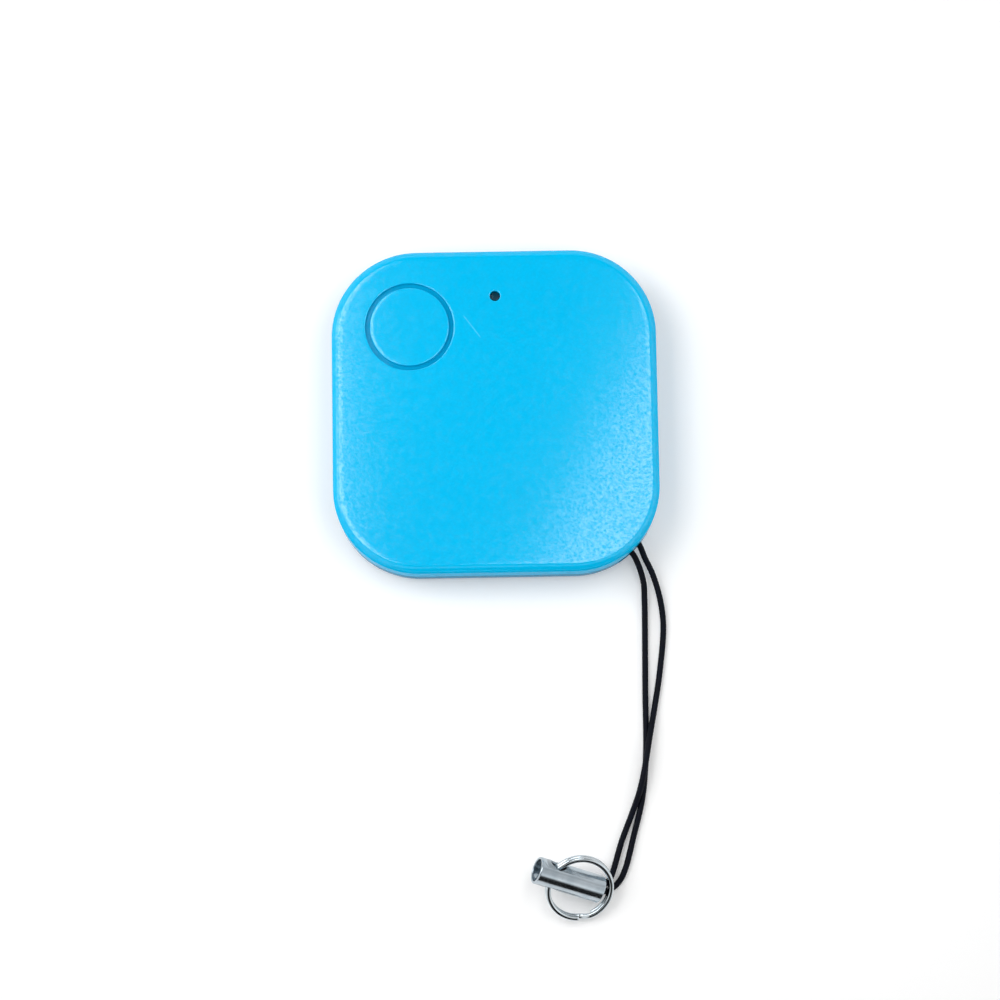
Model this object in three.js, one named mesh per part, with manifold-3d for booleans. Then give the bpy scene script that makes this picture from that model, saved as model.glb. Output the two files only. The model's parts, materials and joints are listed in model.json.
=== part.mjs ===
// Bluetooth tracker tag: a flat two-part case with a button, a coin cell and a
// circuit board inside, and a cord loop that carries a ferrule and a split ring.
//
// Millimetres, +Z up. The case lies on its back cover on z = 0, centred on the
// Z axis. The cord leaves the case at its +X -Y corner and runs toward -Y.

import * as THREE from 'three';
import { mergeVertices } from 'three/addons/utils/BufferGeometryUtils.js';
import Module from 'manifold-3d';

const wasm = await Module();
wasm.setup();

// ---------------------------------------------------------------- sizes

// Case
const caseSide = 38.0;
const caseCornerR = 10.0;
const faceThickness = 0.9;
const floorThickness = 0.9;
const wallThickness = 1.2;
const frontEdgeR = 1.0;
const backEdgeR = 1.5;
const partingZ = 3.4;
const partingGap = 0.1;

// Tongue on the back cover, and the rebate that it slides up into
const tongueThickness = 0.5;
const tongueHeight = 1.2;
const tongueClearance = 0.1;

// Post for the cord, and the slot that the cord leaves by
const postR = 0.8;
const postInset = 3.5; // from the case's outer corner to the post's axis
const postHeight = 3.4;
const postStopR = 1.3;
const postStopGap = 0.15;
const slotWidth = 4.8;
const slotSill = 0.3;

// Button and its opening
const buttonX = -9.85;
const buttonY = 10.0;
const buttonR = 4.65;
const buttonGrooveWidth = 0.5;
const buttonTopThickness = 0.45;
const flangeThickness = 0.4;
const flangeOverlap = 0.65;
const flangeClearance = 0.2;
const flangeLift = 0.05;
const nubClearance = 0.2; // round the nub, in the switch frame's hole
const pressGap = 0.05;

// Status light
const ledX = 0.2;
const ledY = 13.5;
const ledHoleR = 0.6;
const ledWindowClearance = 0.05;
const ledWindowRecess = 0.35;
const ledWindowFlangeR = 1.1;
const ledWindowFlange = 0.35;
const ledLength = 1.6;
const ledWidth = 0.8;
const ledBaseHeight = 0.2;
const ledLensHeight = 0.25;

// Circuit board and the pins that it is staked on
const boardThickness = 0.8;
const partsRoom = 1.2; // from the board up to the face
const boardClearance = 0.6;
const boardPostCutR = 2.6;
const bossR = 1.3;
const pinR = 0.6;
const pinClearance = 0.1;
const pinHeadR = 0.95;
const pinHeadHeight = 0.3;
const pinPlaces = [[-15.0, -3.5], [14.8, 3.0], [6.5, 15.0]];

// Tactile switch
const switchLength = 4.2;
const switchWidth = 3.2;
const switchBaseHeight = 0.25;
const domeR = 1.25;
const domeRise = 0.22;
const domeThickness = 0.08;
const domeSeat = 0.02;
const frameWall = 0.2;
const framePlate = 0.12;
const frameTopAboveBoard = 0.72;
const plungerR = 0.65;
const plungerLength = 0.26;
const plungerProud = 0.13;
const plungerClearance = 0.15;

// Coin cell, held by a clip
const cellR = 10.0;
const cellHeight = 3.2;
const cellX = -3.0;
const cellY = -3.5;
const cellWall = 0.25;
const cellCapR = 8.9;
const cellCapHeight = 0.5;
const cellCoreGap = 0.05;
const clipThickness = 0.2;
const clipWidth = 6.0;
const clipGap = 0.15;
const clipFloorGap = 0.1;
const clipFoot = 1.3;
const padR = 3.0;
const padThickness = 0.1;

// Buzzer: a brass disc with a ceramic layer, glued under the face by a ring
const buzzerX = 4.5;
const buzzerY = -5.5;
const buzzerR = 7.5;
const buzzerThickness = 0.15;
const ceramicR = 5.0;
const ceramicThickness = 0.15;
const glueWidth = 1.0;
const glueThickness = 0.15;
const wireR = 0.2;

// Cord, ferrule and split ring
const cordR = 0.35;
const ferruleLength = 8.2;
const ferruleR = 1.6;
const ferruleWall = 0.3;
const ferruleEdge = 0.08;
const crossHoleR = 1.08;
const crossHoleInset = 2.2;
const plugLength = 1.0;
const plugClearance = 0.05;
const plugGap = 0.35; // from the cross hole's edge to the plug
const ringOuterR = 4.0;
const ringWireWidth = 0.6;
const ringWireHeight = 0.5;
const ringCoilGap = 0.04;
const ringStep = 24; // degrees over which the wire steps to the next coil

// ---------------------------------------------------------------- derived

// The case is as thick as the stack in it, from the floor to the face.
const cellStack = clipFloorGap + clipThickness + cellHeight + padThickness;
const boardBottomZ = floorThickness + cellStack;
const boardTopZ = boardBottomZ + boardThickness;
const ceilingZ = boardTopZ + partsRoom;
const caseThickness = ceilingZ + faceThickness;
const frontBottomZ = partingZ + partingGap / 2;
const backTopZ = partingZ - partingGap / 2;
const tongueTopZ = backTopZ + tongueHeight;
const cavitySide = caseSide - 2 * wallThickness;
const cavityCornerR = caseCornerR - wallThickness;
const cellTopZ = boardBottomZ - padThickness;
const cellBottomZ = cellTopZ - cellHeight;
const diagonal = Math.SQRT1_2;
const cornerReach = (caseSide / 2 - caseCornerR) * Math.SQRT2 + caseCornerR;
const postReach = cornerReach - postInset;
const postX = postReach * diagonal;
const postY = -postReach * diagonal;
const postTopZ = floorThickness + postHeight;
const openingR = buttonR + buttonGrooveWidth;
const flangeR = openingR + flangeOverlap;
const flangeTopZ = caseThickness - buttonTopThickness;
const flangeBottomZ = flangeTopZ - flangeThickness;
const frameHoleR = plungerR + plungerClearance;
const nubR = frameHoleR - nubClearance;
const plungerTopZ = boardTopZ + frameTopAboveBoard + plungerProud;
const ringMidR = ringOuterR - ringWireWidth / 2;

const arcSteps = 9;
const roundSteps = 28;

// ---------------------------------------------------------------- helpers

const degrees = THREE.MathUtils.degToRad;

/** Rounded square outline, centred on the origin. */
function roundedSquare(side, cornerR) {
  const h = side / 2 - cornerR;
  const shape = new THREE.Shape();
  shape.absarc(h, h, cornerR, 0, Math.PI / 2);
  shape.absarc(-h, h, cornerR, Math.PI / 2, Math.PI);
  shape.absarc(-h, -h, cornerR, Math.PI, 1.5 * Math.PI);
  shape.absarc(h, -h, cornerR, 1.5 * Math.PI, 2 * Math.PI);
  return shape;
}

/** Straight prism of an outline between two heights. */
function prism(shape, z0, z1) {
  const options = { depth: z1 - z0, bevelEnabled: false, curveSegments: arcSteps };
  return new THREE.ExtrudeGeometry(shape, options).translate(0, 0, z0);
}

/** Prism of an outline with rounded edges top and bottom. */
function softPrism(shape, z0, z1, edgeR, edgeSteps = 4) {
  const options = {
    depth: z1 - z0 - 2 * edgeR,
    bevelEnabled: true,
    bevelThickness: edgeR,
    bevelSize: edgeR,
    bevelOffset: -edgeR,
    bevelSegments: edgeSteps,
    curveSegments: arcSteps,
  };
  return new THREE.ExtrudeGeometry(shape, options).translate(0, 0, z0 + edgeR);
}

/** Upright cylinder between two heights. */
function disc(r, z0, z1, x = 0, y = 0, steps = roundSteps) {
  const geometry = new THREE.CylinderGeometry(r, r, z1 - z0, steps);
  return geometry.rotateX(Math.PI / 2).translate(x, y, (z0 + z1) / 2);
}

/** Box given by its size and the centre of its bottom face. */
function block(length, width, height, x = 0, y = 0, z = 0) {
  return new THREE.BoxGeometry(length, width, height).translate(x, y, z + height / 2);
}

/** Ring with a square section. */
function flatRing(innerR, outerR, z0, z1) {
  const profile = [[innerR, z0], [outerR, z0], [outerR, z1], [innerR, z1], [innerR, z0]];
  return turned(profile);
}

/** Solid turned about the Z axis from [radius, height] points, lowest first. */
function turned(profile, steps = roundSteps) {
  const points = profile.map(([r, z]) => new THREE.Vector2(r, z));
  return new THREE.LatheGeometry(points, steps).rotateX(Math.PI / 2);
}

/** Manifold solid of a geometry, for joins and cuts. */
function solid(geometry) {
  const bare = geometry.clone();
  bare.deleteAttribute('normal');
  bare.deleteAttribute('uv');
  const merged = mergeVertices(bare, 1e-5);
  return new wasm.Manifold(new wasm.Mesh({
    numProp: 3,
    vertProperties: new Float32Array(merged.attributes.position.array),
    triVerts: new Uint32Array(merged.index.array),
  }));
}

/** Geometry of a manifold solid. */
function shapeOf(manifold) {
  const mesh = manifold.getMesh();
  const geometry = new THREE.BufferGeometry();
  geometry.setAttribute('position', new THREE.BufferAttribute(mesh.vertProperties, 3));
  geometry.setIndex(new THREE.BufferAttribute(mesh.triVerts, 1));
  geometry.computeVertexNormals();
  return geometry;
}

const joined = (...parts) => parts.map(solid).reduce((a, b) => a.add(b));
const cut = (body, ...cutters) => cutters.map(solid).reduce((a, b) => a.subtract(b), body);

const looks = {
  turquoise: { color: 0x01c4fb, roughness: 0.38, metalness: 0.0 },
  board: { color: 0x0f4a2c, roughness: 0.5, metalness: 0.0 },
  chip: { color: 0x17181a, roughness: 0.6, metalness: 0.0 },
  switchPlastic: { color: 0x202124, roughness: 0.55, metalness: 0.0 },
  steel: { color: 0xb9bec3, roughness: 0.3, metalness: 1.0 },
  polishedSteel: { color: 0xc9ced2, roughness: 0.14, metalness: 1.0 },
  brass: { color: 0xc9a24a, roughness: 0.3, metalness: 1.0 },
  copper: { color: 0xc27a4a, roughness: 0.35, metalness: 1.0 },
  ceramic: { color: 0xe6e2d6, roughness: 0.6, metalness: 0.0 },
  tan: { color: 0xb59a76, roughness: 0.6, metalness: 0.0 },
  gasket: { color: 0x3a3d40, roughness: 0.7, metalness: 0.0 },
  filling: { color: 0x4a4a48, roughness: 0.9, metalness: 0.0 },
  glue: { color: 0xe9e7df, roughness: 0.7, metalness: 0.0 },
  lens: { color: 0xd9efe9, roughness: 0.15, metalness: 0.0 },
  redWire: { color: 0xb3231e, roughness: 0.5, metalness: 0.0 },
  blackWire: { color: 0x141516, roughness: 0.5, metalness: 0.0 },
  cord: { color: 0x0a0d14, roughness: 0.8, metalness: 0.0 },
};

/** Named mesh with a material of its own. */
function piece(name, geometry, look) {
  const mesh = new THREE.Mesh(geometry, new THREE.MeshStandardMaterial(looks[look]));
  mesh.name = name;
  return mesh;
}

// ---------------------------------------------------------------- case

/** Bar across the case's +X -Y corner, between two heights. */
function cornerBar(reach0, reach1, width, z0, z1) {
  const bar = block(reach1 - reach0, width, z1 - z0, (reach0 + reach1) / 2, 0, z0);
  return bar.rotateZ(-Math.PI / 4);
}

function backCover() {
  const outer = roundedSquare(caseSide, caseCornerR);
  const body = solid(softPrism(outer, 0, caseThickness, backEdgeR))
    .subtract(solid(block(2 * caseSide, 2 * caseSide, caseThickness, 0, 0, backTopZ)));
  const tongueSide = cavitySide + 2 * tongueThickness;
  const tongueR = cavityCornerR + tongueThickness;
  const tongueRoot = backTopZ - floorThickness / 2;
  const tongue = solid(prism(roundedSquare(tongueSide, tongueR), tongueRoot, tongueTopZ));
  const cavity = prism(roundedSquare(cavitySide, cavityCornerR), floorThickness, caseThickness);
  const slotZ = floorThickness + slotSill;
  const slot = cornerBar(postReach + 2 * postR, cornerReach + 1, slotWidth, slotZ, backTopZ);
  const post = disc(postR, floorThickness / 2, postTopZ, postX, postY, 24);
  return shapeOf(cut(body.add(tongue), cavity, slot).add(solid(post)));
}

function frontCover() {
  const outer = roundedSquare(caseSide, caseCornerR);
  const body = solid(softPrism(outer, 0, caseThickness, frontEdgeR))
    .subtract(solid(block(2 * caseSide, 2 * caseSide, frontBottomZ, 0, 0, 0)));
  const cavity = prism(roundedSquare(cavitySide, cavityCornerR), 0, ceilingZ);
  const rebateInset = tongueThickness + tongueClearance;
  const rebateOutline = roundedSquare(cavitySide + 2 * rebateInset, cavityCornerR + rebateInset);
  const rebate = prism(rebateOutline, 0, tongueTopZ + tongueClearance);
  const opening = disc(openingR, 0, 2 * caseThickness, buttonX, buttonY);
  const seatTopZ = flangeTopZ + flangeLift;
  const seat = disc(flangeR + flangeClearance, ceilingZ - 1, seatTopZ, buttonX, buttonY);
  const ledHole = disc(ledHoleR, 0, 2 * caseThickness, ledX, ledY, 24);
  const shell = cut(body, cavity, rebate, opening, seat, ledHole);
  const topZ = ceilingZ + faceThickness / 2;
  const bosses = pinPlaces.map(([x, y]) => joined(
    disc(bossR, boardTopZ, topZ, x, y, 20),
    disc(pinR, boardBottomZ - pinHeadHeight / 2, topZ, x, y, 16),
    disc(pinHeadR, boardBottomZ - pinHeadHeight, boardBottomZ, x, y, 16),
  ));
  const stop = solid(disc(postStopR, postTopZ + postStopGap, topZ, postX, postY, 20));
  return shapeOf([...bosses, stop].reduce((a, b) => a.add(b), shell));
}

/** Button cap: its top fills the opening, and its flange keeps it in the case. */
function buttonCap() {
  const edge = 0.12;
  const nubBottom = plungerTopZ + pressGap;
  return turned([
    [0, nubBottom],
    [nubR, nubBottom],
    [nubR, flangeBottomZ],
    [flangeR, flangeBottomZ],
    [flangeR, flangeTopZ],
    [buttonR, flangeTopZ],
    [buttonR, caseThickness - edge],
    [buttonR - edge, caseThickness],
    [0, caseThickness],
  ]);
}

// ---------------------------------------------------------------- board

function circuitBoard() {
  const side = cavitySide - 2 * boardClearance;
  const cornerR = cavityCornerR - boardClearance;
  const sheet = solid(prism(roundedSquare(side, cornerR), boardBottomZ, boardTopZ));
  const holes = pinPlaces.map(([x, y]) => disc(pinR + pinClearance, 0, caseThickness, x, y, 20));
  const postCut = disc(boardPostCutR, 0, caseThickness, postX, postY, 24);
  return shapeOf(cut(sheet, ...holes, postCut));
}

/** Copper track that winds up and down beside the board's +X edge. */
function antennaTrace() {
  const trackWidth = 0.5;
  const pitch = 1.3;
  const reach = 3.0;
  const turns = 7;
  const thickness = 0.05;
  let track = solid(block(trackWidth, trackWidth, thickness));
  for (let i = 0; i < turns; i += 1) {
    const y = i * pitch;
    track = track.add(solid(block(reach, trackWidth, thickness, reach / 2 - trackWidth / 2, y)));
    const x = i % 2 === 0 ? reach - trackWidth : 0;
    if (i < turns - 1) {
      track = track.add(solid(block(trackWidth, pitch + trackWidth, thickness, x, y + pitch / 2)));
    }
  }
  return shapeOf(track);
}

/** Thin sprung dome, a shallow spherical cap of even thickness. */
function switchDome() {
  const sphereR = (domeR ** 2 + domeRise ** 2) / (2 * domeRise);
  const steps = 3;
  const under = [];
  const over = [];
  for (let i = 0; i <= steps; i += 1) {
    const r = (domeR * i) / steps;
    const z = Math.sqrt(sphereR ** 2 - r ** 2) - sphereR + domeRise;
    under.push([r, z]);
    over.unshift([r, z + domeThickness]);
  }
  return turned([...under, ...over], 16);
}

/** Metal frame over the switch: four low walls and a plate with a round hole. */
function switchFrame() {
  const outer = block(switchLength, switchWidth, frameTopAboveBoard);
  const innerHeight = frameTopAboveBoard - framePlate;
  const inner = block(switchLength - 2 * frameWall, switchWidth - 2 * frameWall, innerHeight);
  const hole = disc(frameHoleR, 0, 1, 0, 0, 20);
  return shapeOf(cut(solid(outer), inner, hole));
}

function tactSwitch() {
  const group = new THREE.Group();
  const inset = 2 * (frameWall + 0.05);
  const base = block(switchLength - inset, switchWidth - inset, switchBaseHeight);
  const dome = piece('switch_dome', switchDome(), 'steel');
  dome.position.z = switchBaseHeight + domeSeat;
  const plunger = piece('switch_plunger', disc(plungerR, -plungerLength, 0, 0, 0, 20), 'switchPlastic');
  plunger.position.z = plungerTopZ - boardTopZ;
  group.add(piece('switch_base', base, 'switchPlastic'), dome, plunger);
  group.add(piece('switch_frame', switchFrame(), 'steel'));
  return group;
}

/** Flat part soldered on the board: body size, then its place on the board. */
function chipPart(name, look, [length, width, height], [x, y, turn = 0]) {
  const edge = Math.min(length, width, height) * 0.12;
  const outline = new THREE.Shape();
  outline.moveTo(-length / 2, -width / 2);
  outline.lineTo(length / 2, -width / 2);
  outline.lineTo(length / 2, width / 2);
  outline.lineTo(-length / 2, width / 2);
  const mesh = piece(name, softPrism(outline, 0, height, edge, 1), look);
  mesh.position.set(x, y, 0);
  mesh.rotation.z = degrees(turn);
  return mesh;
}

function boardParts() {
  const group = new THREE.Group();
  group.position.z = boardTopZ;
  group.add(chipPart('bluetooth_chip', 'chip', [5.0, 5.0, 0.75], [7.0, 9.0]));
  group.add(chipPart('main_crystal', 'steel', [2.5, 2.0, 0.6], [11.4, 11.2]));
  group.add(chipPart('clock_crystal', 'steel', [3.2, 1.5, 0.7], [1.2, 8.6, 90]));
  group.add(chipPart('matching_inductor', 'chip', [1.6, 0.8, 0.7], [11.8, 8.4]));
  const capacitorSize = [1.0, 0.5, 0.5];
  const capacitorPlaces = [
    [3.2, 5.0], [5.2, 5.0], [7.2, 5.0], [9.2, 5.0], [11.4, 6.6, 90], [3.4, 11.2, 90],
  ];
  capacitorPlaces.forEach((place, i) => {
    group.add(chipPart(`capacitor_${i + 1}`, 'tan', capacitorSize, place));
  });
  const resistorSize = [1.0, 0.5, 0.35];
  const resistorPlaces = [[-3.4, 12.6], [-3.4, 11.2], [-14.5, 6.6, 90], [-12.8, 5.6]];
  resistorPlaces.forEach((place, i) => {
    group.add(chipPart(`resistor_${i + 1}`, 'chip', resistorSize, place));
  });
  const antenna = piece('antenna_trace', antennaTrace(), 'copper');
  antenna.position.set(13.2, -7.2, 0);
  group.add(antenna);
  const button = tactSwitch();
  button.position.set(buttonX, buttonY, 0);
  group.add(button);
  const lensSize = [ledLength * 0.6, ledWidth, ledLensHeight];
  const lens = chipPart('led_lens', 'lens', lensSize, [ledX, ledY]);
  lens.position.z = ledBaseHeight;
  group.add(chipPart('led_base', 'ceramic', [ledLength, ledWidth, ledBaseHeight], [ledX, ledY]));
  group.add(lens);
  return group;
}

/** Clear window in the light's hole, with a flange glued under the face. */
function ledWindow() {
  const stemR = ledHoleR - ledWindowClearance;
  return turned([
    [0, ceilingZ - ledWindowFlange],
    [ledWindowFlangeR, ceilingZ - ledWindowFlange],
    [ledWindowFlangeR, ceilingZ],
    [stemR, ceilingZ],
    [stemR, caseThickness - ledWindowRecess],
    [0, caseThickness - ledWindowRecess],
  ], 24);
}

// ---------------------------------------------------------------- cell

/** Coin cell with its cap up, and the clip and pad that touch its two poles. */
function coinCell() {
  const group = new THREE.Group();
  group.position.set(cellX, cellY, 0);
  const innerR = cellR - cellWall;
  const canTopZ = cellTopZ - cellCapHeight / 2;
  const can = [
    [0, cellBottomZ],
    [cellR - 0.3, cellBottomZ],
    [cellR, cellBottomZ + 0.3],
    [cellR, canTopZ],
    [innerR, canTopZ],
    [innerR, cellBottomZ + cellWall],
    [0, cellBottomZ + cellWall],
  ];
  const capInnerR = cellCapR - cellWall;
  const capBottomZ = cellBottomZ + cellWall + 3 * cellCoreGap;
  const cap = [
    [0, cellTopZ - cellWall],
    [capInnerR, cellTopZ - cellWall],
    [capInnerR, capBottomZ],
    [cellCapR, capBottomZ],
    [cellCapR, cellTopZ - 0.15],
    [cellCapR - 0.15, cellTopZ],
    [0, cellTopZ],
  ];
  const coreR = capInnerR - cellCoreGap;
  const coreBottomZ = cellBottomZ + cellWall + cellCoreGap;
  const core = disc(coreR, coreBottomZ, cellTopZ - cellWall - cellCoreGap);
  const gasketInnerR = cellCapR + cellCoreGap;
  const gasket = flatRing(gasketInnerR, innerR - cellCoreGap, capBottomZ, canTopZ - 0.05);
  group.add(piece('battery_can', turned(can), 'steel'));
  group.add(piece('battery_cap', turned(cap), 'steel'));
  group.add(piece('battery_core', core, 'filling'));
  group.add(piece('battery_gasket', gasket, 'gasket'));
  group.add(piece('negative_contact', disc(padR, cellTopZ, boardBottomZ, 0, 0, 24), 'copper'));
  group.add(piece('battery_clip', batteryClip(), 'steel'));
  return group;
}

/** Sprung strap that passes under the cell and is soldered to the board at both ends. */
function batteryClip() {
  const legY = cellR + clipGap;
  const outerY = legY + clipThickness;
  const footY = outerY + clipFoot;
  const footZ = boardBottomZ - clipThickness;
  const underZ = cellBottomZ - clipThickness;
  const outline = new THREE.Shape();
  outline.moveTo(-outerY, underZ);
  outline.lineTo(outerY, underZ);
  outline.lineTo(outerY, footZ);
  outline.lineTo(footY, footZ);
  outline.lineTo(footY, boardBottomZ);
  outline.lineTo(legY, boardBottomZ);
  outline.lineTo(legY, cellBottomZ);
  outline.lineTo(-legY, cellBottomZ);
  outline.lineTo(-legY, boardBottomZ);
  outline.lineTo(-footY, boardBottomZ);
  outline.lineTo(-footY, footZ);
  outline.lineTo(-outerY, footZ);
  const strap = new THREE.ExtrudeGeometry(outline, { depth: clipWidth, bevelEnabled: false });
  strap.translate(0, 0, -clipWidth / 2).rotateX(Math.PI / 2).rotateZ(Math.PI / 2);
  return strap;
}

// ---------------------------------------------------------------- buzzer

function buzzerWire(points) {
  const route = new THREE.CatmullRomCurve3(points.map((p) => new THREE.Vector3(...p)));
  return tube(route, wireR, 10, 6);
}

/** Buzzer, with z = 0 of its group at the ceiling that it is glued to. */
function buzzer() {
  const group = new THREE.Group();
  group.position.set(buzzerX, buzzerY, ceilingZ);
  const discTopZ = -glueThickness;
  const discBottomZ = discTopZ - buzzerThickness;
  const glue = flatRing(buzzerR - glueWidth, buzzerR, discTopZ, 0);
  const ceramic = disc(ceramicR, discBottomZ - ceramicThickness, discBottomZ);
  group.add(piece('buzzer_adhesive', glue, 'glue'));
  group.add(piece('buzzer_disc', disc(buzzerR, discBottomZ, discTopZ), 'brass'));
  group.add(piece('buzzer_ceramic', ceramic, 'ceramic'));
  const boardZ = boardTopZ - ceilingZ + wireR + 0.02;
  const highZ = discBottomZ - ceramicThickness - wireR - 0.02;
  const red = [[2.0, 0.0, highZ], [4.0, 1.2, highZ - 0.1], [6.0, 3.6, boardZ + 0.1], [7.0, 5.6, boardZ]];
  const rimZ = discBottomZ - wireR - 0.02;
  const black = [[6.2, -1.6, rimZ], [6.6, 0.2, rimZ - 0.15], [7.2, 2.2, boardZ + 0.1], [7.9, 4.2, boardZ]];
  group.add(piece('buzzer_wire_red', buzzerWire(red), 'redWire'));
  group.add(piece('buzzer_wire_black', buzzerWire(black), 'blackWire'));
  return group;
}

// ---------------------------------------------------------------- cord and ring

/** Tube of even radius along a curve. */
function tube(route, r, steps, sides) {
  const section = new THREE.Shape();
  for (let i = 0; i < sides; i += 1) {
    const turn = (2 * Math.PI * i) / sides;
    const point = [r * Math.cos(turn), r * Math.sin(turn)];
    if (i === 0) section.moveTo(...point);
    else section.lineTo(...point);
  }
  return new THREE.ExtrudeGeometry(section, { steps, extrudePath: route, bevelEnabled: false });
}

// The cord's route, from inside the ferrule along one strand to the case, round
// the post, and back along the other strand, which passes over the first.
const cordRoute = [
  [8.1, -54.95, 2.35], [11.15, -55.75, 1.1], [12.0, -55.65, 0.55], [12.9, -55.2, 0.4],
  [13.65, -54.4, 0.4], [14.3, -53.0, 0.4], [15.3, -49.4, 0.4], [16.4, -45.1, 0.4],
  [16.95, -40.0, 0.4], [17.05, -32.7, 0.4], [17.2, -24.5, 0.42], [17.2, -21.9, 0.7],
  [17.1, -19.8, 1.15], [16.4, -17.5, 1.7], [15.7, -16.3, 1.85], [14.4, -15.6, 1.9],
  [13.1, -15.05, 1.9], [12.4, -14.5, 1.9], [12.1, -13.6, 1.9], [12.5, -12.55, 1.9],
  [13.55, -12.1, 1.9], [14.65, -12.55, 1.9], [15.5, -13.75, 1.9], [16.7, -15.5, 1.85],
  [17.3, -17.0, 1.7], [18.2, -18.9, 1.25], [19.05, -21.9, 0.7], [19.35, -25.0, 0.42],
  [18.75, -30.7, 0.4], [18.05, -34.7, 0.5], [17.4, -38.0, 1.05], [16.75, -41.5, 1.25],
  [16.1, -44.2, 1.1], [15.2, -46.7, 0.5], [13.85, -50.1, 0.4], [12.95, -53.0, 0.5],
  [12.5, -54.15, 0.7], [11.85, -54.85, 1.0], [10.9, -55.0, 1.5], [8.4, -54.2, 2.35],
];
const cordSteps = 80;

function lanyardCord() {
  const points = cordRoute.map((p) => new THREE.Vector3(...p));
  return tube(new THREE.CatmullRomCurve3(points, false, 'centripetal'), cordR, cordSteps, 8);
}

/** Ferrule along +X from its open end; x = 0 is the middle of its cross hole. */
function ferrule() {
  const x0 = -crossHoleInset;
  const x1 = x0 + ferruleLength;
  const inner = ferruleR - ferruleWall;
  const profile = [
    [inner, x0 + ferruleEdge],
    [inner + ferruleEdge, x0],
    [ferruleR - ferruleEdge, x0],
    [ferruleR, x0 + ferruleEdge],
    [ferruleR, x1 - ferruleEdge],
    [ferruleR - ferruleEdge, x1],
    [inner + ferruleEdge, x1],
    [inner, x1 - ferruleEdge],
    [inner, x0 + ferruleEdge],
  ];
  const wall = solid(turned(profile, 32).rotateY(Math.PI / 2));
  const hole = disc(crossHoleR, -2 * ferruleR, 2 * ferruleR, 0, 0, 24).rotateX(Math.PI / 2);
  return shapeOf(cut(wall, hole));
}

/** Plug that the cord's two ends are fused to, inside the ferrule. */
function cordPlug() {
  const x0 = crossHoleR + plugGap;
  const r = ferruleR - ferruleWall - plugClearance;
  return disc(r, x0, x0 + plugLength, 0, 0, 20).rotateY(Math.PI / 2);
}

/** Centre line of the split ring's wire: one coil, a step up, and a second coil. */
class RingWire extends THREE.Curve {
  getPoint(t, target = new THREE.Vector3()) {
    const step = degrees(ringStep);
    const turn = step + t * (4 * Math.PI - step);
    const rise = THREE.MathUtils.smoothstep(turn, 2 * Math.PI, 2 * Math.PI + step);
    const lift = (ringWireHeight + ringCoilGap) * (rise - 0.5);
    return target.set(ringMidR * Math.cos(turn), ringMidR * Math.sin(turn), lift);
  }
}

/** Split ring, flat about its own centre. */
function splitRing() {
  const chamfer = 0.12;
  const h = ringWireHeight / 2;
  const w = ringWireWidth / 2;
  const section = new THREE.Shape();
  section.moveTo(h, w - chamfer);
  section.lineTo(h - chamfer, w);
  section.lineTo(-h + chamfer, w);
  section.lineTo(-h, w - chamfer);
  section.lineTo(-h, -w + chamfer);
  section.lineTo(-h + chamfer, -w);
  section.lineTo(h - chamfer, -w);
  section.lineTo(h, -w + chamfer);
  const options = { steps: 84, extrudePath: new RingWire(), bevelEnabled: false };
  return new THREE.ExtrudeGeometry(section, options);
}

// The ferrule lies with its open end raised on the ring, which passes through
// the cross hole and comes to rest on the table and over the cord.
const crossHolePlace = [5.85, -53.8, 3.9];
const ferruleTurn = [22.5, 19.0, -17.5];
const ringTurn = [18.5, 21.0, -27.0];
const ringReach = 3.54; // from the cross hole's middle to the ring's centre
const ringStepPlace = -60; // where round the ring its wire steps between coils

function turnedGroup(turn) {
  const group = new THREE.Group();
  group.rotation.set(...turn.map(degrees), 'ZYX');
  return group;
}

function strapEnd() {
  const group = new THREE.Group();
  group.position.set(...crossHolePlace);
  const tubeGroup = turnedGroup(ferruleTurn);
  tubeGroup.add(piece('cord_ferrule', ferrule(), 'steel'));
  tubeGroup.add(piece('cord_plug', cordPlug(), 'gasket'));
  const ringGroup = turnedGroup(ringTurn);
  const ring = piece('split_ring', splitRing(), 'polishedSteel');
  ring.position.x = ringReach;
  ring.rotation.z = degrees(ringStepPlace);
  ringGroup.add(ring);
  group.add(tubeGroup, ringGroup);
  return group;
}

// ---------------------------------------------------------------- assembly

function trackerTag() {
  const tag = new THREE.Group();
  const button = piece('button_cap', buttonCap(), 'turquoise');
  button.position.set(buttonX, buttonY, 0);
  const window = piece('led_window', ledWindow(), 'lens');
  window.position.set(ledX, ledY, 0);
  tag.add(piece('back_cover', backCover(), 'turquoise'));
  tag.add(piece('front_cover', frontCover(), 'turquoise'));
  tag.add(button, window);
  tag.add(piece('circuit_board', circuitBoard(), 'board'));
  tag.add(boardParts(), coinCell(), buzzer());
  tag.add(piece('lanyard_cord', lanyardCord(), 'cord'));
  tag.add(strapEnd());
  return tag;
}

export default trackerTag();
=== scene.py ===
"""Bluetooth tracker tag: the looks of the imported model, in metres, in its own frame."""

import json
import math

import bmesh
import bpy
from mathutils import Matrix, Vector


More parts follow.
